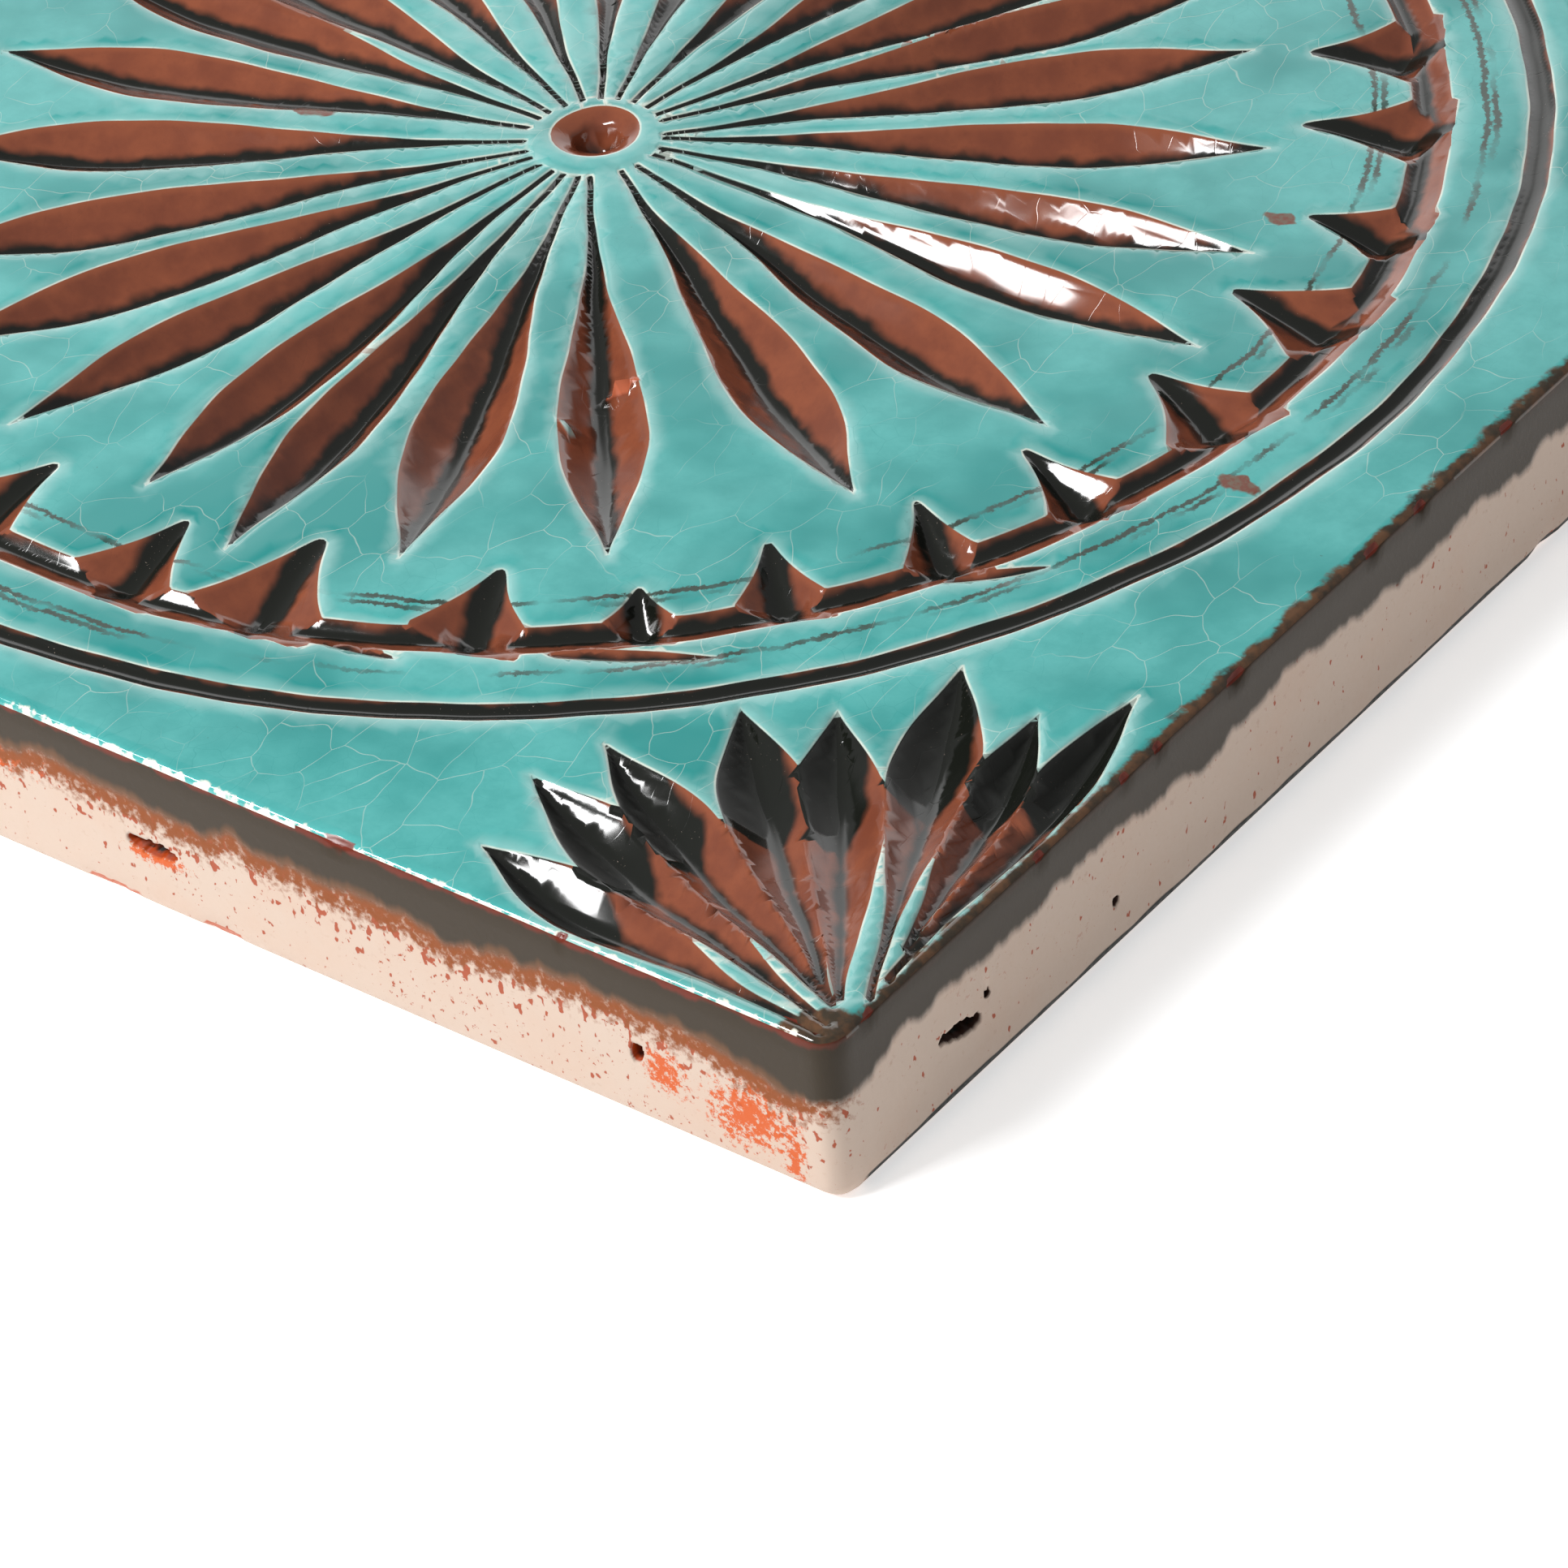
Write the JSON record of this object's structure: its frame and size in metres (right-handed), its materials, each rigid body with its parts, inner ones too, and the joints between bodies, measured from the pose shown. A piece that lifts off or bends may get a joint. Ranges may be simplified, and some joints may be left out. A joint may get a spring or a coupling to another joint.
{
  "type": "carved ceramic tile",
  "caption": "Square glazed clay tile, its face chip-carved with a petalled rosette, a toothed ring, a groove and corner leaf fans; bedded on its flat back as wall or border facing.",
  "frame": {"origin": "middle of the flat back, on the surface that the tile lies on or is bedded to", "axes": "+Z out of the carved face, +X and +Y along the tile's sides"},
  "size_m": [0.15, 0.15, 0.0135],
  "materials": {
    "glazed_clay": "glossy crazed turquoise glaze over white slip, cut through to red clay"
  },
  "bodies": {
    "root": {"carved_tile": "glazed_clay"}
  },
  "joints": []
}
